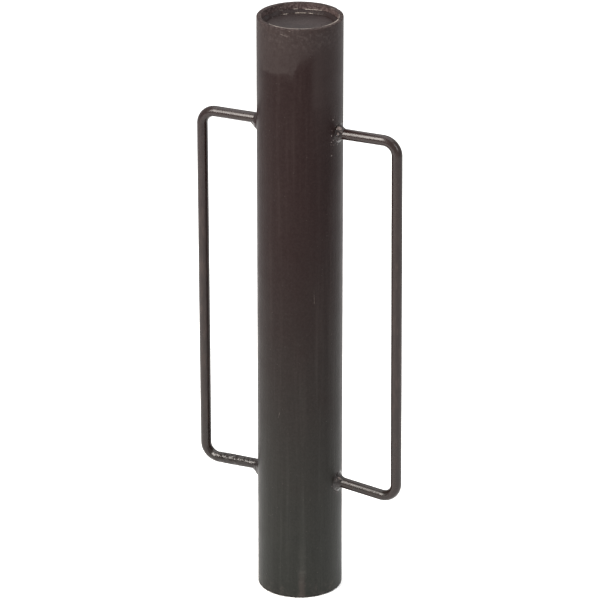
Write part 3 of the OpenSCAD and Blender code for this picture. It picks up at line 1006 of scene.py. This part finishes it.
# each drop lists centre, normal, run, size, and how strongly it is painted pale as a painted glint
WELDS = {
    "left_upper": (LEFT_PATH[0], LEFT_PATH, "upper",
        dict(bar_top=5.0, bar_low=10.6, bar_side=7.0, up=3.6, down=8.4, side=5.4, hollow=0.10, ripples=11, ripple=0.34, lump=0.95, spatter=26,
             blobs=[(170, 26, 0.7), (250, 20, 0.5)])),
    "left_lower": (LEFT_PATH[3], LEFT_PATH, "lower",
        dict(bar_top=4.4, bar_low=9.8, bar_side=6.6, up=3.0, down=7.8, side=5.2, hollow=0.12, ripples=10, ripple=0.32, lump=0.95, spatter=22,
             blobs=[(190, 24, 0.5), (80, 22, 0.5)])),
    "right_upper": (RIGHT_PATH[0], RIGHT_PATH, "upper",
        dict(bar_top=6.4, bar_low=4.2, bar_side=5.2, up=5.6, down=3.6, side=6.0, hollow=0.62, ripples=11, ripple=0.34, lump=0.70, spatter=46,
             blobs=[(-55, 24, 0.9), (-105, 20, 0.8), (120, 24, 0.5)],
             drops=[((46.8, -6.1, 7.8), (0.55, -0.62, 0.55), (0.47, 0.58, -0.66), (3.0, 1.9, 1.9), 1.0),
                    ((45.2, -8.8, 7.8), (0.70, -0.60, 0.30), (0, 0, 1), (1.1, 1.0, 1.1), 0.8),
                    ((46.0, -8.1, 2.6), (0.60, -0.78, 0.10), (0, 0, 1), (1.4, 1.2, 1.2), 0.9),
                    ((45.6, -8.0, -1.4), (0.60, -0.78, 0.00), (0, 0, 1), (1.3, 1.2, 1.0), 0.2),
                    ((48.6, -5.2, 4.0), (0.30, -0.75, 0.55), (1, 0, 0), (1.3, 0.9, 0.8), 0.6),
                    ((46.2, 6.8, 3.0), (0.60, 0.75, 0.20), (0, 0, 1), (1.6, 1.3, 1.2), 0.2)])),
    "right_lower": (RIGHT_PATH[3], RIGHT_PATH, "lower",
        dict(bar_top=6.8, bar_low=4.6, bar_side=5.4, up=6.2, down=5.2, side=5.6, hollow=0.70, ripples=10, ripple=0.20, lump=0.34, spatter=10,
             blobs=[(-40, 22, 0.7), (200, 24, 0.5)],
             drops=[((47.5, -5.0, 6.0), (0.35, -0.72, 0.60), (0.80, 0.25, -0.55), (2.6, 1.1, 1.1), 0.7),
                    ((45.3, -8.0, 5.0), (0.65, -0.70, 0.30), (0.3, 0.3, -0.9), (2.0, 1.1, 1.0), 0.2),
                    ((45.4, 7.6, -2.0), (0.65, 0.74, 0.00), (0, 0, 1), (1.6, 1.2, 1.0), 0.2)])),
}
for k, (name, (root, path, end, shape)) in enumerate(WELDS.items()):
    build_leg_weld(name + "_weld_bead", name + "_weld", root, direction(path, end), shape, 201 + 37 * k, m_weld)

# ---------------------------------------------------------------------------
# Floor, light and camera
# ---------------------------------------------------------------------------
def make_floor():
    t = Tree("studio_floor")
    t.set("Base Color", (0.97, 0.97, 0.965))
    t.set("Roughness", 0.9)
    t.set("Specular IOR Level", 0.2)
    n, size, z = 24, 7.0, -0.0006
    verts = [(0, 0, z)] + [(size * math.cos(2 * math.pi * k / n), size * math.sin(2 * math.pi * k / n), z) for k in range(n)]
    faces = [(0, 1 + k, 1 + (k + 1) % n) for k in range(n)]
    mesh = bpy.data.meshes.new("studio_floor")
    mesh.from_pydata(verts, [], faces)
    floor = bpy.data.objects.new("studio_floor", mesh)
    bpy.context.scene.collection.objects.link(floor)
    mesh.materials.append(t.mat)


def area_light(name, at, target, size, power, colour=(1, 1, 1)):
    light = bpy.data.lights.new(name, "AREA")
    light.shape = "RECTANGLE"
    light.size, light.size_y = size
    light.energy = power
    light.color = colour
    ob = bpy.data.objects.new(name, light)
    bpy.context.scene.collection.objects.link(ob)
    ob.location = at
    ob.rotation_mode = "QUATERNION"
    ob.rotation_quaternion = (Vector(target) - Vector(at)).to_track_quat("-Z", "Y")
    ob.visible_camera = False
    return ob


make_floor()
world = bpy.data.worlds.new("studio")
bpy.context.scene.world = world
world.use_nodes = True
bg = world.node_tree.nodes["Background"]
bg.inputs["Color"].default_value = (1, 1, 1, 1)
bg.inputs["Strength"].default_value = 0.95
area_light("key_softbox", (-0.55, -1.20, 1.26), (0, 0, 0.32), (0.50, 1.15), 43.0, (1.0, 0.94, 0.88))
area_light("side_softbox", (1.30, -0.50, 1.20), (0, 0, 0.40), (0.22, 0.80), 9.0, (0.97, 0.98, 1.0))
area_light("top_softbox", (0.0, 0.4, 2.6), (0, 0.2, 0), (2.6, 2.6), 50.0)

cam_data = bpy.data.cameras.new("camera")
cam = bpy.data.objects.new("camera", cam_data)
bpy.context.scene.collection.objects.link(cam)
DIST, HEIGHT, PITCH, FOCAL = 4.5605, 2.2336, math.radians(22.738), 4760.0
cam_data.sensor_width = 36.0
cam_data.lens = FOCAL / 600 * 36.0
cam_data.clip_start, cam_data.clip_end = 0.1, 100.0
cam.location = (DIST * math.sin(CAM_AZ), -DIST * math.cos(CAM_AZ), HEIGHT)
look = Vector((-math.sin(CAM_AZ) * math.cos(PITCH), math.cos(CAM_AZ) * math.cos(PITCH), -math.sin(PITCH)))
cam.rotation_mode = "QUATERNION"
cam.rotation_quaternion = look.to_track_quat("-Z", "Y")
bpy.context.scene.camera = cam
bpy.context.scene.view_settings.view_transform = "Standard"
